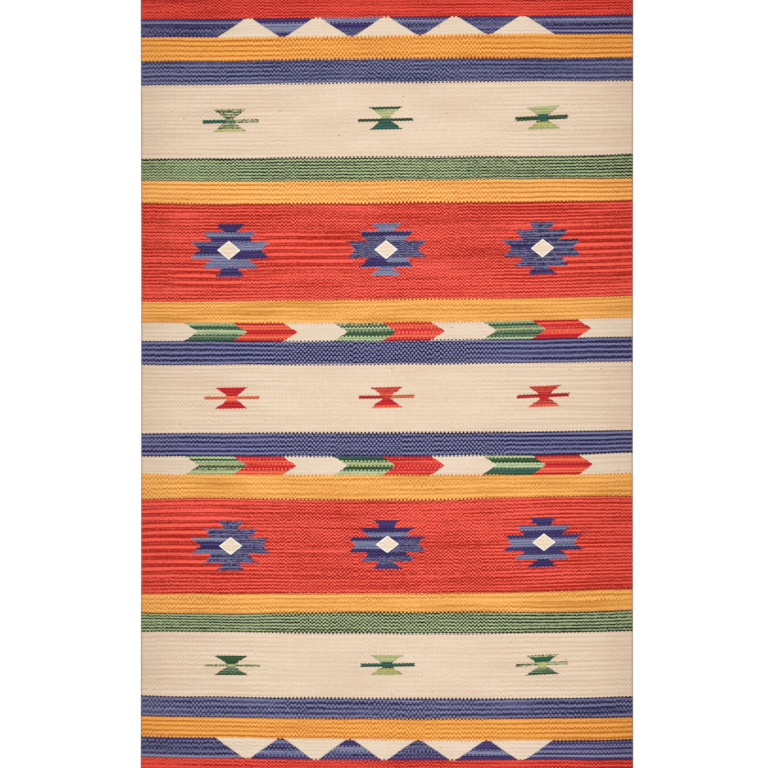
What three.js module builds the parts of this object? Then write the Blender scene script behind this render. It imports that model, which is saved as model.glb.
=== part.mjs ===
// A flat-woven kilim rug, lying flat on the plane z = 0. Millimetres, +Z up.
// The warps run along Y and the coloured wefts run along X, packed into a rib over every warp.

import * as THREE from 'three';

// Driving sizes
const WIDTH = 1524; // selvedge to selvedge
const LENGTH = 2438; // end to end
const THICKNESS = 5; // from the floor to the crest of a rib
const RIB_COUNT = 260; // warps side by side
const RIB_DEPTH = 0.9; // from a crest down to the hollow beside it

// The selvedge, where the wefts turn round the outermost warp
const SELVEDGE_MIDDLE = 2.2; // height of its outermost line
const SELVEDGE_INSET = 0.9; // how far its top and its underside lie inside that line

// The unevenness of a hand-woven outline
const LENGTH_STEPS = 8; // stretches along the length between the bends of the sides
const UNDERSIDE_STEPS = 2; // stretches across the width on the underside
// How far each side is drawn in at its middle, and how much more so towards the far end
const DRAW_IN = [
  { side: -1, depth: 1.6, lean: 0.3 },
  { side: 1, depth: 1.2, lean: -0.4 },
];
// How far the corners of each end stand out past its mean line, and how far its middle is drawn in
const END_DRIFT = [
  { end: -1, left: -6.5, right: 6.5, bow: 0.6 },
  { end: 1, left: -4.5, right: 4.5, bow: 0.6 },
];

const YARN_COLOUR = 0xd24638;
const YARN_ROUGHNESS = 0.95;

// The cross section, anticlockwise: the flat underside, one selvedge, the ribs and the other selvedge
function sectionShape() {
  const half = WIDTH / 2;
  const foot = half - SELVEDGE_INSET;
  const ribPitch = (2 * foot) / RIB_COUNT;
  const points = [];
  for (let i = 0; i <= UNDERSIDE_STEPS; i += 1) {
    const across = (2 * i) / UNDERSIDE_STEPS - 1;
    points.push(new THREE.Vector2(across * foot, 0));
  }
  points.push(new THREE.Vector2(half, SELVEDGE_MIDDLE));
  for (let i = 2 * RIB_COUNT; i >= 0; i -= 1) {
    const isCrest = i % 2 === 1;
    const height = isCrest ? THICKNESS : THICKNESS - RIB_DEPTH;
    points.push(new THREE.Vector2(i * (ribPitch / 2) - foot, height));
  }
  points.push(new THREE.Vector2(-half, SELVEDGE_MIDDLE));
  return new THREE.Shape(points);
}

// How far a side is drawn in, for a place along the length from -1 to 1
function drawIn(side, along) {
  const row = DRAW_IN.find((draw) => draw.side === side);
  return row.depth * (1 - along * along) * (1 + row.lean * along);
}

// How far an end runs out past its mean line, for a place across from -1 to 1
function endDrift(end, across) {
  const row = END_DRIFT.find((drift) => drift.end === end);
  const mean = (row.left + row.right) / 2;
  const slope = (row.right - row.left) / 2;
  return mean + slope * across - row.bow * (1 - across * across);
}

// Moves every point of the straight-sided rug to its place on the uneven outline
function makeUneven(geometry) {
  const position = geometry.attributes.position;
  for (let i = 0; i < position.count; i += 1) {
    const across = position.getX(i) / (WIDTH / 2);
    const along = position.getY(i) / (LENGTH / 2);
    const inwards = drawIn(across < 0 ? -1 : 1, along) * across;
    const outwards = endDrift(along < 0 ? -1 : 1, across) * along;
    position.setX(i, position.getX(i) - inwards);
    position.setY(i, position.getY(i) + outwards);
  }
}

// The whole rug, woven in one piece
function makeRug() {
  const geometry = new THREE.ExtrudeGeometry(sectionShape(), {
    depth: LENGTH,
    steps: LENGTH_STEPS,
    bevelEnabled: false,
  });
  geometry.rotateX(Math.PI / 2);
  geometry.translate(0, LENGTH / 2, 0);
  makeUneven(geometry);
  geometry.computeBoundingBox();
  const middle = geometry.boundingBox.getCenter(new THREE.Vector3());
  geometry.translate(-middle.x, -middle.y, 0);
  geometry.computeVertexNormals();
  const yarn = new THREE.MeshStandardMaterial({
    color: YARN_COLOUR,
    roughness: YARN_ROUGHNESS,
    metalness: 0,
  });
  const rug = new THREE.Mesh(geometry, yarn);
  rug.name = 'rug';
  return rug;
}

const kilim = new THREE.Group();
kilim.add(makeRug());

export default kilim;
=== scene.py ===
# A flat-woven kilim rug on a pale floor, seen from straight above.
# Metres, +Z up, warps along Y, wefts along X. Sizes in capitals are millimetres unless they say otherwise,
# and MM turns them into metres.
import math

import bpy
import numpy as np
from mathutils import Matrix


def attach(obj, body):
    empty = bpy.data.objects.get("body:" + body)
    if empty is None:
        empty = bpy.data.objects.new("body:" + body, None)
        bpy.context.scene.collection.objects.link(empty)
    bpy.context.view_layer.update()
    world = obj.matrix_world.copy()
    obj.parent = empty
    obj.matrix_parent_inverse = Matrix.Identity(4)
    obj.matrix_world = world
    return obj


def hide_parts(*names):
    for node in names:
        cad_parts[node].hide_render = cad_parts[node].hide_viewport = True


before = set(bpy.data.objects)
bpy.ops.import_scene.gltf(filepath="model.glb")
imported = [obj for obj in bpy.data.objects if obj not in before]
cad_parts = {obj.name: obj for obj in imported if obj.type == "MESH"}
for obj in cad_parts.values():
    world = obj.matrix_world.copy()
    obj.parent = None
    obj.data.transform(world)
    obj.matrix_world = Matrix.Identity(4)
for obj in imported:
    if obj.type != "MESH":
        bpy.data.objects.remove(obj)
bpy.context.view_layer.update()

MM = 0.001

# The cloth
WIDTH = 1524
THICKNESS = 5.0
RIB_COUNT = 260
RIB_DEPTH = 0.9
RIB_WIDTH = WIDTH / RIB_COUNT
COLUMNS_PER_RIB = 4
ROW_STEP = 30
SELVEDGE_MIDDLE = 2.2
SELVEDGE_INSET = 0.9
DRAW_IN = {
    "left": {"depth": 1.6, "lean": 0.3},
    "right": {"depth": 1.2, "lean": -0.4},
}

# Where the weaver changes colour, counted from the middle of the design out to an end. "chart" is the outer
# edge of the band on an even chart. "far" and "near" say where that edge lies in the cloth, in the half
# towards +Y and in the half towards -Y, at five places spread evenly from its left side to its right.
# "lines" counts the pairs of a light and a dark line in the band. "swing" is how far they swing from rib to
# rib, at the sides and in the middle, from 0 to 1. "outline" is the height of the dark line along its inner
# edge and its outer one, and "lean" how much darker the wool gets from the middle to the right side.
# The first of a pair is for the far half, but for "outline" and inside "swing".
BANDS = [
    {"yarns": ("cream", "cream"), "chart": 106,
     "far": (103, 103, 105, 108, 113), "near": (110, 107, 106, 104, 98),
     "lines": (8, 8), "swing": ((0.15, 0.2), (0.2, 0.3)), "outline": (0, 0), "lean": (0, 0)},
    {"yarns": ("blue", "blue"), "chart": 179,
     "far": (176, 176, 177, 183, 191), "near": (180, 181, 181, 178, 169),
     "lines": (5, 5.2), "swing": ((0.17, 0.95), (0.22, 0.75)), "outline": (3, 3), "lean": (0.03, 0.03)},
    {"yarns": ("chalk", "chalk"), "chart": 237,
     "far": (233, 232, 233, 239, 249), "near": (232, 238, 238, 238, 231),
     "lines": (4.5, 4.5), "swing": ((0.1, 0.2), (0.1, 0.2)), "outline": (0, 0), "lean": (0, 0)},
    {"yarns": ("gold", "gold"), "chart": 313,
     "far": (299, 300, 304, 307, 317), "near": (313, 311, 315, 308, 304),
     "lines": (5.6, 5.2), "swing": ((0.2, 0.42), (0.4, 0.4)), "outline": (0, 0), "lean": (0.04, 0.04)},
    {"yarns": ("red", "red"), "chart": 603,
     "far": (603, 601, 604, 607, 614), "near": (607, 606, 606, 602, 591),
     "lines": (28.4, 26.4), "swing": ((0.3, 0.72), (0.25, 0.7)), "outline": (2, 2), "lean": (0, 0)},
    {"yarns": ("straw", "gold"), "chart": 671,
     "far": (672, 670, 673, 677, 679), "near": (662, 666, 661, 662, 655),
     "lines": (4.8, 4.1), "swing": ((0.18, 0.65), (0.38, 0.35)), "outline": (0, 0), "lean": (0.11, 0.05)},
    {"yarns": ("green", "green"), "chart": 736,
     "far": (741, 743, 747, 748, 756), "near": (723, 725, 729, 728, 721),
     "lines": (7.5, 6.2), "swing": ((0.5, 0.55), (0.2, 0.72)), "outline": (3, 3), "lean": (0.05, 0.05)},
    {"yarns": ("cream", "cream"), "chart": 952,
     "far": (967, 971, 976, 980, 981), "near": (920, 925, 928, 929, 922),
     "lines": (17.5, 13.5), "swing": ((0.2, 0.3), (0.3, 0.35)), "outline": (0, 0), "lean": (0, 0)},
    {"yarns": ("ink", "ink"), "chart": 1020,
     "far": (1042, 1045, 1050, 1052, 1054), "near": (983, 990, 993, 992, 987),
     "lines": (5.6, 3.9), "swing": ((0.33, 0.75), (0.42, 0.58)), "outline": (3, 3), "lean": (0.1, 0.14)},
    {"yarns": ("ochre", "ochre"), "chart": 1087,
     "far": (1115, 1117, 1122, 1126, 1126), "near": (1046, 1052, 1057, 1060, 1054),
     "lines": (4.7, 4.5), "swing": ((0.2, 0.75), (0.25, 0.72)), "outline": (0, 0), "lean": (0.08, 0.08)},
    {"yarns": ("deep sky", "deep sky"), "chart": 1122,
     "far": (1147, 1149, 1154, 1158, 1161), "near": (1082, 1088, 1091, 1095, 1092),
     "lines": (2.4, 2.4), "swing": ((0.45, 0.5), (0.45, 0.5)), "outline": (3, 1.5), "lean": (0.02, 0.02)},
    {"yarns": ("sky", "sky"), "chart": 1147,
     "far": (1171, 1174, 1178, 1181, 1186), "near": (1108, 1115, 1118, 1118, 1118),
     "lines": (1.7, 1.7), "swing": ((0.45, 0.5), (0.45, 0.5)), "outline": (1.5, 4), "lean": (0.02, 0.02)},
    {"yarns": ("end red", "end red"), "chart": 1219,
     "far": (1242, 1243.9, 1246, 1248.4, 1251), "near": (1183, 1185.9, 1189, 1192.4, 1196),
     "lines": (7.0, 6.6), "swing": ((0.65, 0.5), (0.45, 0.65)), "outline": (2, 0), "lean": (0.03, 0.16)},
]
CHART_HALF = BANDS[-1]["chart"]
# The bands with motifs, by their number in that list, from 0
ARROW_BAND = 2
MEDALLION_BAND = 4
HOURGLASS_BAND = 7
PEAK_BANDS = (10, 11)

# The yarns, each a light and a dark strand laid by turns. Colours are sRGB. "pair" is the height of one light
# and one dark line together in a motif, and "share" the light line's part of it. The rest go from 0 to 1:
# "stray" is how irregular the lines are, "check" how stark they turn where they break up into a check,
# "speck" how much one bead differs from the next, and "calm" how much fainter the lines are in the middle of
# the cloth.
YARN_COLUMNS = ["name", "light", "dark", "pair", "share", "stray", "check", "speck", "calm"]
YARN_ROWS = [
    ("cream", (225, 205, 180), (210, 185, 160), 12, 0.5, 0.9, 0.1, 0.4, 0.7),
    ("chalk", (225, 205, 185), (210, 190, 165), 12, 0.5, 0.9, 0.1, 0.35, 0.7),
    ("bleached", (245, 240, 230), (235, 230, 215), 12, 0.5, 0.3, 0.1, 0.1, 0),
    ("ivory", (230, 210, 190), (220, 200, 175), 12, 0.5, 0.5, 0.1, 0.3, 0),
    ("red", (245, 95, 80), (160, 30, 15), 10.6, 0.45, 0.6, 0.3, 0.4, 0.1),
    ("end red", (230, 80, 65), (150, 20, 15), 10.6, 0.45, 0.7, 0.1, 0.35, 0.1),
    ("ochre", (235, 165, 80), (185, 105, 35), 14.4, 0.6, 0.4, 0.1, 0.3, 0.1),
    ("gold", (240, 175, 95), (195, 125, 50), 10.8, 0.6, 0.9, 0.1, 0.3, 0.1),
    ("straw", (245, 180, 100), (195, 120, 50), 14.4, 0.6, 0.4, 0.1, 0.3, 0.1),
    ("blue", (120, 120, 160), (35, 35, 70), 14.6, 0.42, 0.25, 0.9, 0.3, 0),
    ("ink", (115, 115, 150), (45, 45, 80), 13.6, 0.45, 0.6, 0.8, 0.4, 0),
    ("green", (160, 175, 130), (10, 10, 10), 9.3, 0.5, 0.3, 0.9, 0.5, 0),
    ("sky", (130, 135, 170), (35, 30, 70), 13, 0.5, 0.6, 0.1, 0.4, 0),
    ("deep sky", (110, 110, 145), (35, 30, 65), 13, 0.45, 0.6, 0.1, 0.4, 0),
    ("navy", (75, 65, 115), (40, 30, 70), 8, 0.35, 0.8, 0.1, 0.3, 0),
    ("pale blue", (135, 135, 160), (80, 85, 120), 8, 0.6, 0.8, 0.1, 0.4, 0),
    ("mixed blue", (115, 110, 145), (35, 35, 65), 7.1, 0.5, 0.3, 0.5, 1, 0),
    ("crimson", (205, 45, 50), (150, 25, 30), 9, 0.6, 0.6, 0.1, 0.3, 0),
    ("coral", (235, 110, 80), (200, 65, 45), 9, 0.6, 0.6, 0.1, 0.3, 0),
    ("wine", (180, 50, 50), (135, 30, 30), 9, 0.5, 0.6, 0.1, 0.3, 0),
    ("lime", (180, 180, 130), (135, 140, 85), 9, 0.6, 0.8, 0.1, 0.6, 0),
    ("olive", (190, 185, 120), (140, 140, 80), 8, 0.6, 0.8, 0.1, 0.6, 0),
    ("moss", (185, 185, 140), (50, 55, 40), 8, 0.5, 0.8, 0.3, 1, 0),
    ("celery", (185, 195, 150), (120, 140, 100), 9, 0.6, 0.6, 0.1, 0.5, 0),
    ("leaf", (120, 140, 110), (50, 80, 60), 9, 0.5, 0.7, 0.1, 0.6, 0),
    ("bottle", (65, 95, 65), (40, 60, 40), 9, 0.4, 0.7, 0.1, 0.4, 0),
    ("teal", (60, 100, 85), (40, 70, 60), 9, 0.5, 0.6, 0.1, 0.4, 0),
    ("brick", (210, 80, 65), (150, 40, 40), 8, 0.5, 0.8, 0.1, 0.6, 0),
    ("tan", (210, 110, 80), (165, 80, 55), 9, 0.5, 0.6, 0.1, 0.4, 0),
    ("jade", (50, 105, 70), (30, 75, 50), 9, 0.5, 0.6, 0.1, 0.4, 0),
]
YARNS = [dict(zip(YARN_COLUMNS, row)) for row in YARN_ROWS]
YARN_PLACE = {yarn["name"]: (number + 0.5) / len(YARNS) for number, yarn in enumerate(YARNS)}

# The design's motifs
MOTIF_PITCH = 484
TOOTH_RISE = 1.6
TOOTH_AT_SIDES = 0.6
MOTIF_TOOTH = 0.6
MEDALLION_TOOTH = 1.0
RAGGED = 3.6
PICK_HEIGHT = 3.55

PEAK_PITCH = 212.7
PEAK_COUNT = 5
PEAK_BASE = 97
PEAK_TOP = 11
PEAK_SHIFT = {"far": -4, "near": -9}
# The rows of blue behind the peaks, in each gap from left to right, and in each gap from the ochre band
# outwards: n is navy, p is pale blue, m is deep sky
GAP_SHADES = {"n": "navy", "p": "pale blue", "m": "deep sky"}
GAP_ROWS = 8
GAPS = {
    "far": ["nmmmmnpn", "nnppppnn", "nmmnnnpp", "nmmmmmpn", "nmmmmmmn", "npnmmmpn"],
    "near": ["nmmmmmmp", "mpnmmpmn", "nnnppmmn", "mmmmmmmn", "nnnnppnn", "mnpnpnpn"],
}

# Where each green arrow starts, where the red one behind it starts, and where that one ends
ARROWS = {
    "far": [(-630, -478, -321), (-165, -14, 136.5), (297, 450, 591)],
    "near": [(-626, -477, -324), (-165, -15, 137), (296, 451, 596)],
}
ARROW_TIP = 43.5
ARROW_STRIPES = 8
# Keeps the outer edge of an arrow in its last stripe
SLIVER = 0.01
# The stripes of each green arrow and each red one, from left to right, and in each from the middle cream
# outwards
GREEN_ARROWS = {
    "far": [
        ["bottle", "leaf", "leaf", "celery", "celery", "bottle", "leaf", "celery"],
        ["celery", "celery", "bottle", "bottle", "leaf", "celery", "bottle", "moss"],
        ["celery", "leaf", "bottle", "leaf", "lime", "leaf", "bottle", "celery"],
    ],
    "near": [
        ["celery", "bottle", "celery", "lime", "bottle", "moss", "celery", "lime"],
        ["teal", "bottle", "celery", "lime", "bottle", "bottle", "celery", "celery"],
        ["celery", "bottle", "bottle", "celery", "celery", "teal", "teal", "bottle"],
    ],
}
RED_ARROWS = {
    "far": [
        ["wine", "coral", "coral", "crimson", "crimson", "coral", "coral", "crimson"],
        ["crimson", "coral", "coral", "red", "crimson", "red", "coral", "crimson"],
        ["crimson", "crimson", "red", "coral", "red", "crimson", "red", "crimson"],
    ],
    "near": [
        ["crimson", "red", "coral", "red", "crimson", "red", "coral", "coral"],
        ["crimson", "red", "red", "crimson", "red", "crimson", "red", "crimson"],
        ["wine", "coral", "coral", "crimson", "crimson", "coral", "coral", "crimson"],
    ],
}

HOURGLASS_HALF = 33
HOURGLASS_WAIST = 13.5
HOURGLASS_MOUTH = 51.5
HOURGLASS_RIM = 25.5
HOURGLASS_NECK = 11
HOURGLASS_BAR_HALF = 5.6
# The width of the painted slit shadow along each hourglass's sloping sides
HOURGLASS_SLIT_SHADE = 2.5
# How much each column of hourglasses tilts, from left to right
HOURGLASS_TILTS = [0.01, 0.018, 0.043]
HOURGLASS_PARTS = [
    "rim above", "above", "neck above",
    "bar left", "bar middle", "bar right",
    "neck below", "below", "rim below",
]
# One row for each motif, from left to right. "parts" is a yarn for each part in the order above, "aside" and
# "rise" say how far the motif lies off its even place, and "bar" is how far its bar reaches to the left and
# to the right, how far it lies above the motif's middle and half its height.
HOURGLASSES = {
    "far": [
        {"aside": -4.3, "rise": 2.8, "bar": (84, 89, -2.2, 5.4),
         "parts": ["moss", "moss", "moss", "teal", "leaf", "moss", "moss", "moss", "olive"]},
        {"aside": -3.6, "rise": 4.6, "bar": (84, 85, -5, 4.3),
         "parts": ["bottle", "lime", "lime", "bottle", "teal", "bottle", "teal", "teal", "teal"]},
        {"aside": 0.9, "rise": 2, "bar": (86, 76, -0.3, 6.2),
         "parts": ["lime", "lime", "teal", "bottle", "teal", "bottle", "bottle", "olive", "lime"]},
    ],
    "middle": [
        {"aside": 2.4, "rise": 1, "bar": (85, 85, 0, 5.0),
         "parts": ["crimson", "crimson", "crimson", "tan", "coral", "tan", "coral", "crimson", "crimson"]},
        {"aside": -1, "rise": 2.3, "bar": (87, 86, 1.5, 5.2),
         "parts": ["brick", "brick", "coral", "wine", "brick", "tan", "crimson", "crimson", "coral"]},
        {"aside": 4.3, "rise": 4.5, "bar": (83, 79, 2.9, 5.6),
         "parts": ["brick", "brick", "crimson", "wine", "crimson", "wine", "crimson", "brick", "coral"]},
    ],
    "near": [
        {"aside": 1.5, "rise": -3.8, "bar": (82, 90, -0.6, 4.4),
         "parts": ["bottle", "bottle", "bottle", "moss", "lime", "moss", "leaf", "leaf", "bottle"]},
        {"aside": 0, "rise": 2.6, "bar": (82, 85, 0, 6.0),
         "parts": ["lime", "lime", "teal", "teal", "teal", "teal", "bottle", "olive", "lime"]},
        {"aside": -1.9, "rise": 2.6, "bar": (82, 78, 2.8, 5.4),
         "parts": ["moss", "jade", "jade", "moss", "olive", "moss", "olive", "leaf", "bottle"]},
    ],
}

# The tiers of a medallion, from its middle line outwards. The first starts a little past that line, so that
# the line is in it.
MEDALLION_TIERS = [
    {"start": -1, "stop": 24.6, "inner": 96, "outer": 121},
    {"start": 24.6, "stop": 52.6, "inner": 58.5, "outer": 83.5},
    {"start": 52.6, "stop": 76, "inner": 21, "outer": 44.5},
]
MEDALLION_HALF = MEDALLION_TIERS[-1]["stop"]
MEDALLION_ROWS = 12
DIAMOND_WIDE = 36
DIAMOND_HIGH = 27
DIAMOND_RIM = 0.14
# Rows of a medallion from its top down: n is navy, p is pale blue, m is mixed blue
SHADES = {"n": "navy", "p": "pale blue", "m": "mixed blue"}
# "aside" is how far the medallion lies to the right of its even place, "rise" how far above the middle of
# its band, and "diamond" how far its diamond lies to the right of that even place and above the medallion's
# middle.
MEDALLIONS = {
    "far": [
        {"left": "nnpnmnnpppnn", "right": "nnpnppnnppnn", "aside": -3, "rise": 7.3,
         "diamond": (-7, 0)},
        {"left": "ppnmmmmmnnpp", "right": "ppnpmmmmpnpp", "aside": -1.5, "rise": 6.8,
         "diamond": (-3, -2)},
        {"left": "mmmmmnmmmmmn", "right": "mmmmmmmmmmmn", "aside": -3, "rise": 6.4,
         "diamond": (-1.5, 0)},
    ],
    "near": [
        {"left": "mmmmpnnpmmmm", "right": "mmmmmmmmmmmm", "aside": 0, "rise": 0.8,
         "diamond": (-1, 0)},
        {"left": "nnnpnppnnmmn", "right": "nnnpnmmmnmmn", "aside": 0, "rise": 7.3,
         "diamond": (1, 1)},
        {"left": "nnpnnppnnpnn", "right": "nnpnnppnnpnn", "aside": 0, "rise": 6.4,
         "diamond": (3, 0.6)},
    ],
}
# How tall the medallions of each half are for their chart
MEDALLION_STRETCH = {"far": 1.035, "near": 0.985}

# Floor, light and camera, in metres
FLOOR_SIZE = 14
FLOOR_COLOUR = (0.98, 0.98, 0.98)
FLOOR_ROUGHNESS = 0.9
FLOOR_SPECULAR = 0.1
SKY_STRENGTH = 0.9
LAMP_SIZE = (0.6, 5.0)
LAMP_HEIGHT = 1.7
LAMP_WATTS = 20
# LENS is in millimetres, and FRAME_SIZE is how much of the floor the picture shows
LENS = 90
FRAME_SIZE = 2.3758
FRAME_MIDDLE = (-0.0092, 0.0161)

# Patches of noise: how wide and how high they are
PATCHES = {"waver": (190, 130), "swing": (230, 26), "drift": (420, 60), "abrash": (240, 70)}
# Noise along single lines: how wide its swells are, and how far the next line lies in the noise
STREAKS = {"faint": (300, 5.3), "shift": (360, 3.7), "thread": (450, 7.3)}
# Brings the noise to a range of about -1 to 1
NOISE_GAIN = 3.2
# How far up and down the rows waver
WAVER_HEIGHT = 1.3
# How far from the middle the sides' way of weaving begins, and where the middle's own way ends
SIDES_FROM = 450
MIDDLE_TO = 230
# How ragged the arrows and the rows behind the peaks are beside the hourglasses, and how much more ragged
# than those the medallions are
STRIPE_FRAY = 0.6
MEDALLION_FRAY = 0.8
# How much the patches of noise change the teeth
TOOTH_PATCH = 0.4
# The tables hold numbers from 0 to 1, so motif places, line pairs and outlines are stored as parts of these
MOTIF_RANGE = 100
PAIR_RANGE = 20
OUTLINE_RANGE = 10

# What a steady yarn's lines do, and how much more a wholly stray yarn's do: how much their swing changes from
# patch to patch, how far they drift, and how far they sway on each rib where they swing fully
PATCH_SWING = (0.15, 0.25)
LINE_DRIFT = (0.12, 0.1)
RIB_SWING = (0.08, 0.3)
# How far the lines sway on each rib anyway, and how long a rib keeps its sway
RIB_SWAY = 0.08
RIB_STRETCH = 90
# How far the lines and the beads move from one rib to the next, as a part of their height
TOOTH_SWING = 0.25
BEAD_TOOTH = 0.25
# Makes the lines of one band unlike those of the next
LINE_SHIFT = 0.01
# The noise at which a stray line starts to turn faint, and at which it is gone
FAINT_FROM_TO = (-0.5, 0.6)
# How much the tone of half a line, and of a patch, changes in a wholly stray yarn
SHIFT_STRENGTH = 0.5
ABRASH_STRENGTH = 0.25
# How the strands change where their lines break up into a check
CHECK_LIGHTENS = 0.3
CHECK_DARKENS = 0.7
CHECK_THINS = 0.15
# How much less the lines swing for each millimetre to the right
SWING_LEAN = 0.0003
# Where every second line of the red bands stands out: each patch's middle, across and along, and half its
# size, and the part of that where it shows fully
BOLD_PATCHES = [(-650, -440, 260, 150), (-240, 465, 190, 75), (640, 455, 250, 110), (-560, 380, 150, 40)]
BOLD_CORE = 0.5
BOLD_STRENGTH = 0.42
BOLD_EVENS = 0.45
# How much lighter a band is at its inner edge than in its middle, and the height in which it turns darker
BAND_FADE = 0.07
BAND_FADE_HEIGHT = 290
# How much one weft differs from the next
THREAD_STRENGTH = 0.3
# The part of the beads with a brown nep of wool, and its colour
NEP_SHARE = 0.0004
NEP_COLOUR = (0.16, 0.11, 0.07)
NEP_STRENGTH = 0.5
# How much of the outlines shows, how light they are beside the dark strand, and how strong the painted slit
# shadow along the hourglasses' sloping sides is beside the bands' woven outlines
OUTLINE_STRENGTH = 0.8
OUTLINE_TONE = 0.35
SLIT_SHADE_STRENGTH = 0.45

# Painted shade, tinted brown, that the cloth takes on towards its sides: its colour, from how far out, and
# how strongly there, in the rim beside each selvedge; and the painted shade, in grey, on the selvedge itself
SIDE_SHADE_COLOUR = (0.86, 0.82, 0.79)
SIDE_SHADE_FROM = 330
SIDE_SHADE_STRENGTH = 0.3
RIM_SHADE_STRENGTH = 0.5
RIM_WIDTH = 130
EDGE_SHADE_GREY = 0.1
EDGE_SHADE_STRENGTH = 0.5

# The surface of the wool, with its beads as bump
WOOL_ROUGHNESS = 0.95
WOOL_SPECULAR = 0.15
BEAD_STRENGTH = 0.6
BEAD_HEIGHT = 0.8


# Shader nodes


class Nodes:
    """Adds nodes to one tree. Each helper gives the new node's output."""

    def __init__(self, tree):
        self.tree = tree

    def add(self, kind, **settings):
        node = self.tree.nodes.new(kind)
        for name, value in settings.items():
            setattr(node, name, value)
        return node

    def feed(self, socket, value):
        if isinstance(value, bpy.types.NodeSocket):
            self.tree.links.new(value, socket)
        else:
            socket.default_value = value

    def maths(self, operation, *values):
        node = self.add("ShaderNodeMath", operation=operation)
        for socket, value in zip(node.inputs, values):
            self.feed(socket, value)
        return node.outputs[0]

    def plus(self, *values):
        total = values[0]
        for value in values[1:]:
            total = self.maths("ADD", total, value)
        return total

    def times(self, *values):
        total = values[0]
        for value in values[1:]:
            total = self.maths("MULTIPLY", total, value)
        return total

    def minus(self, first, second):
        return self.maths("SUBTRACT", first, second)

    def over(self, first, second):
        return self.maths("DIVIDE", first, second)

    def more(self, first, second):
        return self.maths("GREATER_THAN", first, second)

    def less(self, first, second):
        return self.maths("LESS_THAN", first, second)

    def size_of(self, value):
        return self.maths("ABSOLUTE", value)

    def whole(self, value):
        return self.maths("FLOOR", value)

    def centred(self, value, step):
        """The middle of the step that the value lies in."""
        return self.times(self.plus(self.whole(self.over(value, step)), 0.5), step)

    def held(self, value, low, high):
        """The value, but no lower than low and no higher than high."""
        return self.maths("MINIMUM", self.maths("MAXIMUM", value, low), high)

    def near(self, first, second, slack=0.5):
        """1 where two numbers lie closer than the slack, else 0."""
        return self.less(self.size_of(self.minus(first, second)), slack)

    def by_turns(self, number):
        """-1 for an even whole number, and 1 for an odd one."""
        return self.minus(self.times(self.maths("FLOORED_MODULO", number, 2), 2), 1)

    def arch(self, value):
        """A wave that is back at 0 at each whole number."""
        return self.maths("SINE", self.times(value, math.pi))

    def cell(self, number, count):
        """The place, from 0 to 1, of a numbered cell in a table of so many."""
        return self.over(self.plus(number, 0.5), count)

    def choose(self, mask, first, second):
        """The first number where the mask is 0, and the second where it is 1."""
        node = self.add("ShaderNodeMix", data_type="FLOAT")
        for socket, value in zip(node.inputs[:1] + node.inputs[2:4], (mask, first, second)):
            self.feed(socket, value)
        return node.outputs[0]

    def blend(self, mask, first, second, kind="MIX"):
        """The first colour where the mask is 0, and the second where it is 1."""
        node = self.add("ShaderNodeMix", data_type="RGBA", blend_type=kind)
        for socket, value in zip(node.inputs[:1] + node.inputs[6:8], (mask, first, second)):
            self.feed(socket, value)
        return node.outputs[2]

    def spread(self, value, low, high, to_low=0.0, to_high=1.0, smooth=False):
        """The value's range from low to high stretched to another range, and held there past its ends."""
        node = self.add("ShaderNodeMapRange", interpolation_type="SMOOTHSTEP" if smooth else "LINEAR")
        for socket, number in zip(node.inputs, (value, low, high, to_low, to_high)):
            self.feed(socket, number)
        return node.outputs[0]

    def table(self, place, colours):
        """A stepped look-up: the colour of the cell that a place from 0 to 1 lies in."""
        ramp = self.add("ShaderNodeValToRGB")
        ramp.color_ramp.interpolation = "CONSTANT"
        stops = ramp.color_ramp.elements
        stops.remove(stops[1])
        stops[0].position = 0
        for number in range(1, len(colours)):
            stops.new(number / len(colours))
        for stop, colour in zip(stops, colours):
            stop.color = (*colour, 1)
        self.feed(ramp.inputs[0], place)
        return ramp.outputs[0]

    def triple(self, place, rows):
        """A stepped look-up of three numbers at once, each from 0 to 1."""
        parts = self.add("ShaderNodeSeparateColor")
        self.feed(parts.inputs[0], self.table(place, rows))
        return parts.outputs

    def spot(self, aside, rise):
        node = self.add("ShaderNodeCombineXYZ")
        self.feed(node.inputs[0], aside)
        self.feed(node.inputs[1], rise)
        return node.outputs[0]

    def noise(self, aside, rise):
        """Smooth noise about 0, from roughly -1 to 1, on two numbers."""
        texture = self.add("ShaderNodeTexNoise", noise_dimensions="2D")
        self.feed(texture.inputs["Vector"], self.spot(aside, rise))
        self.feed(texture.inputs["Scale"], 1.0)
        self.feed(texture.inputs["Detail"], 1.0)
        return self.times(self.minus(texture.outputs[0], 0.5), NOISE_GAIN)

    def patches(self, across, along, kind):
        """Noise in patches of the kind's width and height."""
        wide, high = PATCHES[kind]
        return self.noise(self.over(across, wide), self.over(along, high))

    def streaks(self, across, line, kind):
        """Noise along each numbered line, with the kind's width."""
        wide, step = STREAKS[kind]
        return self.noise(self.over(across, wide), self.times(line, step))

    def scatter(self, aside, rise):
        """A random number from 0 to 1 for each pair of whole numbers."""
        texture = self.add("ShaderNodeTexWhiteNoise", noise_dimensions="2D")
        self.feed(texture.inputs["Vector"], self.spot(aside, rise))
        return texture.outputs[0]

    def group(self, tree, **values):
        """Places a node group, with its inputs named in words joined by _."""
        node = self.add("ShaderNodeGroup", node_tree=tree)
        for name, value in values.items():
            self.feed(node.inputs[name.replace("_", " ")], value)
        return node.outputs


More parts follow.
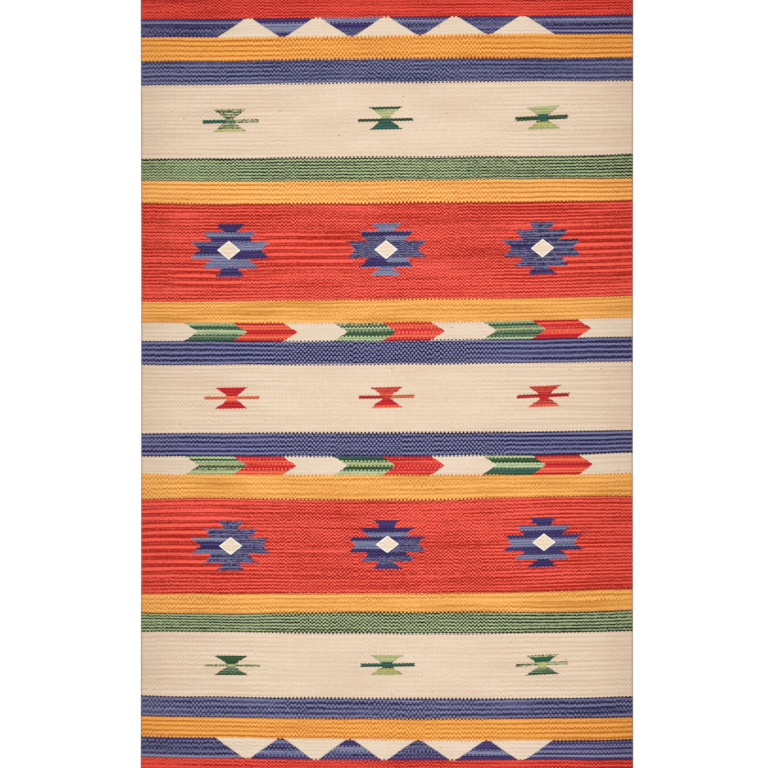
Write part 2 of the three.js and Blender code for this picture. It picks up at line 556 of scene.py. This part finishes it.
def new_group(name, inputs, outputs):
    """An empty node group with sockets for numbers, colours or places.

    Gives its Nodes, its inputs and a call that ends it."""
    tree = bpy.data.node_groups.new(name, "ShaderNodeTree")
    kinds = {"number": "NodeSocketFloat", "colour": "NodeSocketColor", "place": "NodeSocketVector"}
    for socket, kind in inputs.items():
        tree.interface.new_socket(name=socket, in_out="INPUT", socket_type=kinds[kind])
    for socket, kind in outputs.items():
        tree.interface.new_socket(name=socket, in_out="OUTPUT", socket_type=kinds[kind])
    nodes = Nodes(tree)
    entry = nodes.add("NodeGroupInput")
    leave = nodes.add("NodeGroupOutput")

    def finish(**values):
        for socket, value in values.items():
            nodes.feed(leave.inputs[socket.replace("_", " ")], value)
        return tree

    return nodes, entry.outputs, finish


def linear(colour):
    """An sRGB colour from 0 to 255 as linear light."""
    parts = [part / 255 for part in colour]
    return tuple(p / 12.92 if p <= 0.04045 else ((p + 0.055) / 1.055) ** 2.4 for p in parts)


def grey(value):
    return (value, value, value)


# The weave as shader groups


def cloth_place_group():
    """Where a spot lies in the weave, from the cloth's own map."""
    n, given, finish = new_group(
        "Cloth place",
        {"Cloth": "place"},
        dict.fromkeys(["Across", "Along", "Rib", "Tooth", "Crest"], "number"),
    )
    parts = n.add("ShaderNodeSeparateXYZ")
    n.feed(parts.inputs[0], given["Cloth"])
    across = n.times(n.minus(parts.outputs[0], 0.5), WIDTH)
    along = n.times(n.minus(parts.outputs[1], 0.5), 2 * CHART_HALF)
    waver = n.times(n.patches(across, along, "waver"), WAVER_HEIGHT)
    rib = n.whole(n.over(across, RIB_WIDTH))
    crest = n.arch(n.minus(n.over(across, RIB_WIDTH), rib))
    return finish(Across=across, Along=n.plus(along, waver), Rib=rib, Tooth=n.by_turns(rib), Crest=crest)


def swing_group():
    """How far the weft lines swing from rib to rib: hardly at the sides, and unevenly in the middle."""
    n, given, finish = new_group(
        "Swing",
        dict.fromkeys(["Across", "Along"], "number"),
        dict.fromkeys(["Middle", "Patch", "Bold"], "number"),
    )
    across, along = given["Across"], given["Along"]
    middle = n.spread(n.size_of(across), SIDES_FROM, MIDDLE_TO, smooth=True)
    bold = 0.0
    for x, y, wide, high in BOLD_PATCHES:
        beside = n.over(n.size_of(n.minus(across, x)), wide)
        above = n.over(n.size_of(n.minus(along, y)), high)
        patch = n.spread(n.maths("MAXIMUM", beside, above), 1, BOLD_CORE, smooth=True)
        bold = n.maths("MAXIMUM", bold, patch)
    return finish(Middle=middle, Patch=n.patches(across, along, "swing"), Bold=bold)


def wedge_group():
    """A shape with sloping sides, as wide as a line from Inner, at Start, to Outer, at Stop.

    Rise is the even distance that the sides follow, and Level the toothed one that the ends follow."""
    n, given, finish = new_group(
        "Wedge",
        dict.fromkeys(["Aside", "Rise", "Level", "Start", "Stop", "Inner", "Outer"], "number"),
        {"Mask": "number"},
    )
    reach = n.spread(given["Rise"], given["Start"], given["Stop"], given["Inner"], given["Outer"])
    mask = n.times(
        n.less(n.size_of(given["Aside"]), reach),
        n.more(given["Level"], given["Start"]),
        n.less(given["Level"], given["Stop"]),
    )
    return finish(Mask=mask)


def wedge_mask(n, wedge, aside, rise, level, start, stop, inner, outer):
    values = {"Start": start, "Stop": stop, "Inner": inner, "Outer": outer}
    return n.group(wedge, Aside=aside, Rise=rise, Level=level, **values)["Mask"]


def yarn_table(n, place, names):
    return n.table(place, [grey(YARN_PLACE[name]) for name in names])


def motif_table(n, motif, values):
    """A number of millimetres for each motif from left to right, at most MOTIF_RANGE either way."""
    shares = [(value + MOTIF_RANGE) / (2 * MOTIF_RANGE) for value in values]
    share = n.table(n.cell(motif, len(values)), [grey(part) for part in shares])
    return n.minus(n.times(share, 2 * MOTIF_RANGE), MOTIF_RANGE)


def band_span(first, last):
    """The chart distance of the first band's inner edge, and that of the last one's outer edge."""
    return BANDS[first - 1]["chart"], BANDS[last]["chart"]


def arrows_yarn(n, aside, rise, level, half, current):
    """Chevrons that all point to +X, green then red, with cream between them."""
    low, high = band_span(ARROW_BAND, ARROW_BAND)
    height = (high - low) / 2
    from_middle = n.over(n.size_of(n.minus(rise, low + height)), height)
    place = n.minus(aside, n.times(n.minus(1, from_middle), ARROW_TIP))
    stripe = n.plus(n.whole(n.spread(level, low, high, 0, ARROW_STRIPES - SLIVER)), 0.5)
    yarn = current
    for (start, turn, stop), green, red in zip(ARROWS[half], GREEN_ARROWS[half], RED_ARROWS[half]):
        cell = n.over(stripe, 2 * ARROW_STRIPES)
        cell = n.plus(cell, n.times(n.more(place, turn), 0.5))
        here = n.times(n.more(place, start), n.less(place, stop))
        yarn = n.choose(here, yarn, yarn_table(n, cell, green + red))
    mask = n.times(n.more(level, low), n.less(level, high))
    return n.choose(mask, current, yarn)


def peaks_yarn(n, wedge, aside, rise, level, half, current):
    """A row of cream peaks, with their feet on the ochre band."""
    low, high = band_span(*PEAK_BANDS)
    moved = n.minus(n.centred(aside, RIB_WIDTH), PEAK_SHIFT[half])
    number = n.maths("ROUND", n.over(moved, PEAK_PITCH))
    from_peak = n.minus(moved, n.times(number, PEAK_PITCH))
    shape = wedge_mask(n, wedge, from_peak, rise, level, low, high, PEAK_BASE, PEAK_TOP)
    mask = n.times(shape, n.less(n.size_of(number), PEAK_COUNT / 2))
    return n.choose(mask, current, YARN_PLACE["chalk"])


def gaps_yarn(n, aside, level, half, current):
    """Rows of other blues in the band behind the peaks."""
    gaps = GAPS[half]
    low, high = band_span(*PEAK_BANDS)
    in_band = n.times(n.more(level, low), n.less(level, high))
    place = n.cell(n.whole(n.spread(level, low, high, 0, GAP_ROWS)), GAP_ROWS)
    gap = n.plus(n.whole(n.over(n.minus(aside, PEAK_SHIFT[half]), PEAK_PITCH)), len(gaps) / 2)
    gap = n.held(gap, 0, len(gaps) - 1)
    yarn = current
    for number, letters in enumerate(gaps):
        here = n.times(in_band, n.near(gap, number))
        yarn = n.choose(here, yarn, yarn_table(n, place, [GAP_SHADES[letter] for letter in letters]))
    return yarn


def hourglass_yarn(n, aside, up, tooth, motif, rows, current):
    """Two wedges that meet at a bar, one motif in each column. Gives the yarn and a painted slit shadow along
    its sloping sides.
    """
    aside = n.minus(aside, motif_table(n, motif, [row["aside"] for row in rows]))
    up = n.minus(up, motif_table(n, motif, [row["rise"] for row in rows]))
    tilt = n.table(n.cell(motif, len(rows)), [grey(tilt) for tilt in HOURGLASS_TILTS])
    up = n.minus(up, n.times(aside, tilt))
    toothed = n.plus(up, n.times(tooth, MOTIF_TOOTH))
    rise = n.size_of(up)
    level = n.size_of(toothed)
    reach = n.spread(rise, HOURGLASS_BAR_HALF, HOURGLASS_HALF, HOURGLASS_WAIST, HOURGLASS_MOUTH)
    within = n.minus(reach, n.size_of(aside))
    body = n.times(n.more(within, 0), n.less(level, HOURGLASS_HALF))
    # A painted slit shadow just inside the sloping sides
    outline = n.times(body, n.less(within, HOURGLASS_SLIT_SHADE))

    bar_left, bar_right, bar_lift, bar_half = zip(*[row["bar"] for row in rows])
    bar_level = n.size_of(n.minus(toothed, motif_table(n, motif, bar_lift)))
    in_bar = n.less(bar_level, motif_table(n, motif, bar_half))
    bar = n.times(
        in_bar,
        n.more(aside, motif_table(n, motif, [-left for left in bar_left])),
        n.less(aside, motif_table(n, motif, bar_right)),
    )
    outwards = n.minus(n.more(level, HOURGLASS_RIM), n.less(level, HOURGLASS_NECK))
    above = n.minus(HOURGLASS_PARTS.index("above"), outwards)
    below = n.plus(HOURGLASS_PARTS.index("below"), outwards)
    sideways = n.minus(n.more(aside, HOURGLASS_WAIST), n.less(aside, -HOURGLASS_WAIST))
    bar_part = n.plus(HOURGLASS_PARTS.index("bar middle"), sideways)
    part = n.choose(in_bar, n.choose(n.less(up, 0), above, below), bar_part)
    names = [name for row in rows for name in row["parts"]]
    place = n.cell(n.plus(n.times(motif, len(HOURGLASS_PARTS)), part), len(names))
    yarn = n.choose(n.maths("MAXIMUM", body, bar), current, yarn_table(n, place, names))
    return yarn, outline


def medallion_yarn(n, wedge, given, motif, in_column, ragged, half, middle, current):
    """A stepped medallion with a cream diamond, one in each column. The diamond's sides are even."""
    charts = MEDALLIONS[half]
    middle = n.plus(middle, motif_table(n, motif, [chart["rise"] for chart in charts]))
    up = n.over(n.minus(given["Along"], middle), MEDALLION_STRETCH[half])
    toothed_up = n.plus(up, n.times(given["Tooth"], MEDALLION_TOOTH))
    frayed = n.plus(in_column, ragged, n.times(ragged, MEDALLION_FRAY))
    aside = n.minus(frayed, motif_table(n, motif, [chart["aside"] for chart in charts]))
    rise = n.size_of(up)
    level = n.size_of(toothed_up)
    mask = 0.0
    for tier in MEDALLION_TIERS:
        mask = n.plus(mask, wedge_mask(n, wedge, aside, rise, level, **tier))
    row = n.whole(n.spread(toothed_up, MEDALLION_HALF, -MEDALLION_HALF, 0, MEDALLION_ROWS))
    place = n.cell(n.plus(row, n.times(n.more(aside, 0), MEDALLION_ROWS)), 2 * MEDALLION_ROWS)
    yarn = current
    for number, chart in enumerate(charts):
        names = [SHADES[letter] for letter in chart["left"] + chart["right"]]
        here = n.times(mask, n.near(motif, number))
        yarn = n.choose(here, yarn, yarn_table(n, place, names))
    diamond_aside, diamond_rise = zip(*[chart["diamond"] for chart in charts])
    beside = n.size_of(n.minus(in_column, motif_table(n, motif, diamond_aside)))
    above = n.size_of(n.minus(up, motif_table(n, motif, diamond_rise)))
    from_centre = n.plus(n.over(beside, DIAMOND_WIDE), n.over(above, DIAMOND_HIGH))
    yarn = n.choose(n.less(from_centre, 1), yarn, YARN_PLACE["bleached"])
    return n.choose(n.less(from_centre, 1 - DIAMOND_RIM), yarn, YARN_PLACE["ivory"])


def band_weave(n, aside, rise, level, turn):
    """The yarn of the bands in one half, their outlines and how their lines lie.

    turn is 0 for the far half and 1 for the near one."""
    stops = [band["chart"] for band in BANDS]
    starts = [0, *stops[:-1]]
    spans = list(zip(BANDS, starts, stops))
    number = n.plus(*[n.more(level, stop) for stop in stops[:-1]])
    place = n.cell(number, len(BANDS))
    yarn = yarn_table(n, place, [band["yarns"][turn] for band in BANDS])
    habits = [
        ((stop - start) / band["lines"][turn] / PAIR_RANGE, *band["swing"][turn])
        for band, start, stop in spans
    ]
    pair, at_sides, in_middle = n.triple(place, habits)
    edges = [(start / CHART_HALF, stop / CHART_HALF, band["lean"][turn]) for band, start, stop in spans]
    inner, outer, lean = n.triple(place, edges)
    outlines = [(*[high / OUTLINE_RANGE for high in band["outline"]], 0) for band in BANDS]
    inner_line, outer_line, _ = n.triple(place, outlines)
    start = n.times(inner, CHART_HALF)
    on_start = n.less(n.minus(level, start), n.times(inner_line, OUTLINE_RANGE))
    stop_away = n.minus(n.times(outer, CHART_HALF), level)
    on_stop = n.less(stop_away, n.times(outer_line, OUTLINE_RANGE))
    lie = {
        "Into_band": n.minus(rise, start),
        "Pair": n.times(pair, PAIR_RANGE),
        "At_sides": at_sides,
        "In_middle": in_middle,
        "Lean": n.times(lean, aside, 2 / WIDTH),
    }
    return yarn, n.maths("MAXIMUM", on_start, on_stop), lie


def half_design_group(wedge, half, side):
    """The yarn that one half's design calls for, as a place on the yarn card, and how it lies.

    side is 1 for the half towards +Y and -1 for the other."""
    outputs = ["Yarn", "Own", "Into band", "Pair", "At sides", "In middle", "Outline", "Lean"]
    n, given, finish = new_group(
        "Design " + half,
        dict.fromkeys(["Across", "Along", "Toothed", "Tooth"], "number"),
        dict.fromkeys(outputs, "number"),
    )
    aside = given["Across"]
    side_of_motif = n.whole(n.over(aside, MOTIF_PITCH / 2))
    pick = n.whole(n.over(given["Along"], PICK_HEIGHT))
    ragged = n.times(n.minus(n.scatter(side_of_motif, pick), 0.5), 2 * RAGGED)
    rise = n.size_of(given["Along"])
    level = n.size_of(given["Toothed"])
    band_yarn, band_outline, lie = band_weave(n, aside, rise, level, 0 if side > 0 else 1)

    rough = n.plus(aside, n.times(ragged, STRIPE_FRAY))
    yarn = arrows_yarn(n, rough, rise, level, half, band_yarn)
    yarn = gaps_yarn(n, rough, level, half, yarn)
    yarn = peaks_yarn(n, wedge, aside, rise, level, half, yarn)
    column = n.maths("ROUND", n.over(aside, MOTIF_PITCH))
    in_column = n.minus(aside, n.times(column, MOTIF_PITCH))
    ragged_column = n.plus(in_column, ragged)
    motif = n.plus(column, 1)
    middles = {"middle": 0.0, half: side * sum(band_span(HOURGLASS_BAND, HOURGLASS_BAND)) / 2}
    slit_shade = 0.0
    for rows, middle in middles.items():
        up = n.minus(given["Along"], middle)
        yarn, painted_slit_shade = hourglass_yarn(n, ragged_column, up, given["Tooth"], motif, HOURGLASSES[rows], yarn)
        slit_shade = n.plus(slit_shade, painted_slit_shade)
    middle = side * sum(band_span(MEDALLION_BAND, MEDALLION_BAND)) / 2
    yarn = medallion_yarn(n, wedge, given, motif, in_column, ragged, half, middle, yarn)

    own = n.near(yarn, band_yarn, 0.5 / len(YARNS))
    # The bands' outlines are woven dark lines; the hourglasses' outlines are painted slit shadow
    outline = n.maths("MAXIMUM", n.times(own, band_outline), n.times(slit_shade, SLIT_SHADE_STRENGTH))
    return finish(Yarn=yarn, Own=own, Outline=outline, **lie)


def yarn_card_group():
    """The colours and habits of the yarn at a place on the card."""
    habits = dict.fromkeys(["Pair", "Share", "Stray", "Check", "Speck", "Calm"], "number")
    n, given, finish = new_group(
        "Yarn card",
        {"Yarn": "number"},
        {"Light": "colour", "Dark": "colour", **habits},
    )
    place = given["Yarn"]
    light = n.table(place, [linear(yarn["light"]) for yarn in YARNS])
    dark = n.table(place, [linear(yarn["dark"]) for yarn in YARNS])
    lines = [(yarn["pair"] / PAIR_RANGE, yarn["share"], yarn["stray"]) for yarn in YARNS]
    pair, share, stray = n.triple(place, lines)
    check, speck, calm = n.triple(place, [(yarn["check"], yarn["speck"], yarn["calm"]) for yarn in YARNS])
    pair = n.times(pair, PAIR_RANGE)
    return finish(
        Light=light, Dark=dark, Pair=pair, Share=share, Stray=stray, Check=check, Speck=speck, Calm=calm
    )


def weft_lines_group():
    """Which strand shows at a spot, from 0, dark, to 1, light, and the round of each bead."""
    place = ["Across", "Along", "Into band", "Rib", "Tooth", "Crest", "Middle", "Patch", "Bold"]
    inputs = [*place, "At sides", "In middle", "Lean", "Pair", "Share", "Stray", "Check", "Speck", "Calm"]
    n, given, finish = new_group(
        "Weft lines",
        dict.fromkeys(inputs, "number"),
        dict.fromkeys(["Strand", "Bead", "Punch", "Nep"], "number"),
    )
    across, along, tooth, stray = given["Across"], given["Along"], given["Tooth"], given["Stray"]

    def with_stray(least, more):
        return n.plus(least, n.times(stray, more))

    at_side = n.times(given["At sides"], n.minus(1, n.times(across, SWING_LEAN)))
    swing = n.choose(given["Middle"], at_side, given["In middle"])
    swing = n.plus(swing, n.times(given["Patch"], with_stray(*PATCH_SWING)))
    swing = n.held(swing, 0, n.minus(1, given["Bold"]))
    drift = n.times(n.patches(across, along, "drift"), with_stray(*LINE_DRIFT))
    own = n.minus(n.scatter(given["Rib"], n.whole(n.over(along, RIB_STRETCH))), 0.5)
    own = n.times(own, n.plus(RIB_SWAY, n.times(swing, with_stray(*RIB_SWING))))
    sway = n.plus(drift, own, n.times(tooth, swing, TOOTH_SWING))
    level = n.plus(n.over(given["Into band"], given["Pair"]), sway)
    whole_line = n.whole(level)
    from_centre = n.size_of(n.minus(n.minus(level, whole_line), 0.5))
    check = n.times(given["Check"], swing)
    share = n.times(given["Share"], n.minus(1, n.times(check, CHECK_THINS)))
    light = n.less(from_centre, n.times(share, 0.5))
    line = n.plus(whole_line, n.times(along, LINE_SHIFT))
    half_line = n.whole(n.times(level, 2))
    pick = n.whole(n.over(n.plus(along, n.times(sway, given["Pair"])), PICK_HEIGHT))

    faint = n.spread(n.streaks(across, line, "faint"), *FAINT_FROM_TO)
    depth = n.times(n.minus(1, n.times(stray, faint)), n.minus(1, n.times(given["Bold"], BOLD_EVENS)))
    shift = n.times(n.streaks(across, half_line, "shift"), stray, SHIFT_STRENGTH)
    thread = n.times(n.streaks(across, pick, "thread"), THREAD_STRENGTH)
    turns = n.plus(n.times(n.minus(light, 0.5), depth), shift, thread)
    calm = n.minus(1, n.times(given["Calm"], given["Middle"]))
    speck = n.times(n.minus(n.scatter(given["Rib"], pick), 0.5), given["Speck"])
    abrash = n.times(n.patches(across, along, "abrash"), stray, ABRASH_STRENGTH)
    bold = n.times(n.by_turns(whole_line), given["Bold"], BOLD_STRENGTH)
    fade = n.spread(given["Into band"], 0, BAND_FADE_HEIGHT, BAND_FADE, -BAND_FADE)
    tone = n.minus(n.plus(abrash, bold, fade), given["Lean"])
    strand = n.held(n.plus(0.5, n.times(turns, calm), speck, tone), 0, 1)

    punch = n.plus(1, n.times(check, n.choose(light, -CHECK_DARKENS, CHECK_LIGHTENS)))
    half_bead = n.plus(n.over(along, PICK_HEIGHT), n.times(tooth, BEAD_TOOTH))
    bead = n.times(n.size_of(n.arch(half_bead)), given["Crest"])
    nep = n.more(n.scatter(pick, given["Rib"]), 1 - NEP_SHARE)
    return finish(Strand=strand, Bead=bead, Punch=punch, Nep=nep)


def side_shade_group():
    """Painted shade on the cloth: a little browner and darker towards the sides, and darker still at the
    selvedge.
    """
    n, given, finish = new_group("Painted side shade", {"Across": "number", "Clean": "colour"}, {"Colour": "colour"})
    from_middle = n.size_of(given["Across"])
    sides = n.spread(from_middle, SIDE_SHADE_FROM, WIDTH / 2, smooth=True)
    rim = n.spread(from_middle, WIDTH / 2 - RIM_WIDTH, WIDTH / 2, smooth=True)
    tone = n.plus(n.times(sides, SIDE_SHADE_STRENGTH), n.times(rim, RIM_SHADE_STRENGTH))
    # Painted shade: darkens and browns the cloth towards its sides, standing in for the light falling off
    # there
    colour = n.blend(tone, given["Clean"], (*SIDE_SHADE_COLOUR, 1), kind="MULTIPLY")
    # Painted shade: a dark grey line on the outermost rib, standing in for the shadow at the cloth's edge
    selvedge = n.spread(from_middle, WIDTH / 2 - RIB_WIDTH, WIDTH / 2)
    colour = n.blend(n.times(selvedge, EDGE_SHADE_STRENGTH), colour, (*grey(EDGE_SHADE_GREY), 1))
    return finish(Colour=colour)


def woven_wool_material():
    material = bpy.data.materials.new("woven wool")
    material.use_nodes = True
    tree = material.node_tree
    tree.nodes.clear()
    n = Nodes(tree)
    cloth = n.add("ShaderNodeUVMap", uv_map="cloth")
    spot = n.group(cloth_place_group(), Cloth=cloth.outputs[0])
    across, along, tooth = spot["Across"], spot["Along"], spot["Tooth"]
    swing = n.group(swing_group(), Across=across, Along=along)
    uneven = n.plus(swing["Middle"], n.times(swing["Patch"], TOOTH_PATCH))
    height = n.plus(TOOTH_AT_SIDES, n.spread(uneven, 0, 1))
    toothed = n.plus(along, n.times(tooth, height, TOOTH_RISE))
    wedge = wedge_group()
    halves = {}
    for half, side in (("far", 1), ("near", -1)):
        design = half_design_group(wedge, half, side)
        halves[half] = n.group(design, Across=across, Along=along, Toothed=toothed, Tooth=tooth)
    is_far = n.more(along, 0)
    weave = {}
    for name in halves["far"].keys():
        weave[name] = n.choose(is_far, halves["near"][name], halves["far"][name])
    card = n.group(yarn_card_group(), Yarn=weave["Yarn"])
    shared = {name: card[name] for name in ("Share", "Stray", "Check", "Speck", "Calm")}
    shared |= {name: swing[name] for name in ("Middle", "Patch", "Bold")}
    shared |= {name.replace(" ", "_"): weave[name] for name in ("Into band", "At sides", "In middle", "Lean")}
    shared |= {name: spot[name] for name in ("Across", "Along", "Rib", "Tooth", "Crest")}
    pair = n.choose(weave["Own"], card["Pair"], weave["Pair"])
    lines = n.group(weft_lines_group(), Pair=pair, **shared)
    clean = n.blend(lines["Strand"], card["Dark"], card["Light"])
    clean = n.blend(1.0, clean, lines["Punch"], kind="MULTIPLY")
    outline = n.blend(1.0, card["Dark"], (*grey(OUTLINE_TONE), 1), kind="MULTIPLY")
    # Darkens the woven band outlines and the painted slit shadow of the hourglasses
    clean = n.blend(n.times(weave["Outline"], OUTLINE_STRENGTH), clean, outline)
    clean = n.blend(n.times(lines["Nep"], NEP_STRENGTH), clean, (*NEP_COLOUR, 1))
    colour = n.group(side_shade_group(), Across=across, Clean=clean)["Colour"]

    shader = n.add("ShaderNodeBsdfPrincipled")
    n.feed(shader.inputs["Base Color"], colour)
    shader.inputs["Roughness"].default_value = WOOL_ROUGHNESS
    shader.inputs["Specular IOR Level"].default_value = WOOL_SPECULAR
    bump = n.add("ShaderNodeBump")
    bump.inputs["Strength"].default_value = BEAD_STRENGTH
    bump.inputs["Distance"].default_value = BEAD_HEIGHT * MM
    n.feed(bump.inputs["Height"], lines["Bead"])
    n.feed(shader.inputs["Normal"], bump.outputs[0])
    output = n.add("ShaderNodeOutputMaterial")
    n.feed(output.inputs[0], shader.outputs[0])
    return material


# The cloth as a sheet


def woven_rows():
    """The chart distance of each row of the sheet, from the near end to the far end."""
    rows = [0.0]
    start = 0.0
    for band in BANDS:
        count = max(2, round((band["chart"] - start) / ROW_STEP))
        rows += [start + (band["chart"] - start) * (i + 1) / count for i in range(count)]
        start = band["chart"]
    half = np.array(rows)
    return np.concatenate([-half[:0:-1], half])


def lie_of_edge(band, half, across):
    """Where a band's outer edge lies, on a smooth line through its places."""
    places = np.linspace(-1, 1, len(band[half]))
    return np.polyval(np.polyfit(places, band[half], len(places) - 1), across)


def lie_of_row(chart, across):
    """Where a row of the chart lies in the cloth, for each place across from -1 to 1."""
    half = "far" if chart > 0 else "near"
    distance = abs(chart)
    start = 0.0
    inner = np.zeros_like(across)
    for band in BANDS:
        outer = lie_of_edge(band, half, across)
        if distance <= band["chart"]:
            share = (distance - start) / (band["chart"] - start)
            return math.copysign(1, chart) * (inner + (outer - inner) * share)
        start = band["chart"]
        inner = outer
    raise ValueError("a row lies past the end of the chart")


def side_draw(across, along):
    """How far the sides are drawn in between the two ends."""
    left, right = DRAW_IN["left"], DRAW_IN["right"]
    depth, lean = [np.where(across < 0, left[key], right[key]) for key in ("depth", "lean")]
    return depth * (1 - along**2) * (1 + lean * along)


def sheet_faces(row_count, column_count):
    """The faces of the cloth: its ribbed top, its selvedges and ends, and a flat underside."""
    across = column_count + 1
    top = np.arange(row_count * across).reshape(row_count, across)
    right = top[:, -1]
    left = top[::-1, 0]
    near = top[0, 1:-1]
    far = top[-1, -2:0:-1]
    rim = np.concatenate([near, right, far, left])
    middle_ring = np.arange(len(rim)) + top.size
    bottom_ring = middle_ring + len(rim)
    quads = np.stack([top[:-1, :-1], top[:-1, 1:], top[1:, 1:], top[1:, :-1]], axis=-1).reshape(-1, 4)
    faces = quads.tolist()
    for upper, lower in ((rim, middle_ring), (middle_ring, bottom_ring)):
        faces += np.stack([upper, lower, np.roll(lower, -1), np.roll(upper, -1)], axis=-1).tolist()

    ends = len(near)
    down_right = bottom_ring[ends : ends + row_count]
    down_left = bottom_ring[2 * ends + row_count :][::-1]
    for row in range(1, row_count - 2):
        faces.append([down_left[row], down_left[row + 1], down_right[row + 1], down_right[row]])
    near_line = [down_left[0], *bottom_ring[:ends], down_right[0]]
    far_line = [down_right[-1], *bottom_ring[ends + row_count : 2 * ends + row_count], down_left[-1]]
    faces += end_fan(near_line, down_left[1], down_right[1])
    faces += end_fan(far_line, down_right[-2], down_left[-2])
    return rim, faces


def end_fan(line, first, last):
    """Closes the strip of the underside between an end of the cloth and the row next to it."""
    half = len(line) // 2
    faces = [[first, line[number + 1], line[number]] for number in range(half)]
    faces.append([first, last, line[half]])
    faces += [[last, line[number + 1], line[number]] for number in range(half, len(line) - 1)]
    return faces


def make_rug():
    rows = woven_rows()
    columns = RIB_COUNT * COLUMNS_PER_RIB
    across = np.linspace(-1, 1, columns + 1)
    along = np.array([lie_of_row(chart, across) for chart in rows])
    fraction = (along - along.min()) / (along.max() - along.min()) * 2 - 1
    foot = WIDTH / 2 - SELVEDGE_INSET
    x = across * (foot - side_draw(across, fraction))
    rib_wave = np.sin(np.pi * (np.arange(columns + 1) % COLUMNS_PER_RIB) / COLUMNS_PER_RIB)
    z = np.broadcast_to(THICKNESS - RIB_DEPTH + RIB_DEPTH * rib_wave, x.shape)
    top = np.stack([x, along, z], axis=-1).reshape(-1, 3)
    across_map, along_map = np.meshgrid((across + 1) / 2, rows / (2 * CHART_HALF) + 0.5)
    top_map = np.stack([across_map, along_map], axis=-1).reshape(-1, 2)

    rim, faces = sheet_faces(len(rows), columns)
    middle_ring = top[rim].copy()
    middle_ring[:, 0] *= WIDTH / 2 / foot
    middle_ring[:, 2] = SELVEDGE_MIDDLE
    bottom_ring = top[rim].copy()
    bottom_ring[:, 2] = 0
    spots = np.concatenate([top, middle_ring, bottom_ring])
    spots[:, :2] -= (spots[:, :2].max(axis=0) + spots[:, :2].min(axis=0)) / 2
    cloth_map = np.concatenate([top_map, top_map[rim], top_map[rim]])

    mesh = bpy.data.meshes.new("kilim_rug")
    mesh.from_pydata((spots * MM).tolist(), [], faces)
    layer = mesh.uv_layers.new(name="cloth")
    corners = np.zeros(len(mesh.loops), dtype=np.int32)
    mesh.loops.foreach_get("vertex_index", corners)
    layer.data.foreach_set("uv", cloth_map[corners].astype(np.float32).ravel())
    mesh.shade_smooth()
    rug = bpy.data.objects.new("kilim_rug", mesh)
    bpy.context.collection.objects.link(rug)
    return rug


def make_floor():
    bpy.ops.mesh.primitive_plane_add(size=FLOOR_SIZE)
    floor = bpy.context.object
    floor.name = "floor"
    material = bpy.data.materials.new("pale floor")
    material.use_nodes = True
    shader = material.node_tree.nodes["Principled BSDF"]
    shader.inputs["Base Color"].default_value = (*FLOOR_COLOUR, 1)
    shader.inputs["Roughness"].default_value = FLOOR_ROUGHNESS
    shader.inputs["Specular IOR Level"].default_value = FLOOR_SPECULAR
    floor.data.materials.append(material)
    return floor


# Light and camera


def light_room():
    world = bpy.data.worlds.new("room")
    bpy.context.scene.world = world
    world.use_nodes = True
    sky = world.node_tree.nodes["Background"]
    sky.inputs["Color"].default_value = (1, 1, 1, 1)
    sky.inputs["Strength"].default_value = SKY_STRENGTH
    lamp_data = bpy.data.lights.new("overhead lamp", "AREA")
    lamp_data.shape = "RECTANGLE"
    lamp_data.size, lamp_data.size_y = LAMP_SIZE
    lamp_data.energy = LAMP_WATTS
    lamp = bpy.data.objects.new("overhead lamp", lamp_data)
    lamp.location = (0, 0, LAMP_HEIGHT)
    lamp.visible_camera = False
    bpy.context.collection.objects.link(lamp)


def place_camera():
    data = bpy.data.cameras.new("from above")
    data.lens = LENS
    camera = bpy.data.objects.new("from above", data)
    height = FRAME_SIZE * LENS / data.sensor_width
    camera.location = (*FRAME_MIDDLE, height + THICKNESS * MM)
    bpy.context.collection.objects.link(camera)
    bpy.context.scene.camera = camera
    bpy.context.scene.view_settings.view_transform = "Standard"
    bpy.context.scene.view_settings.look = "None"


rug = make_rug()
rug.data.materials.append(woven_wool_material())
floor = make_floor()
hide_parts("rug")
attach(rug, "root")
light_room()
place_camera()
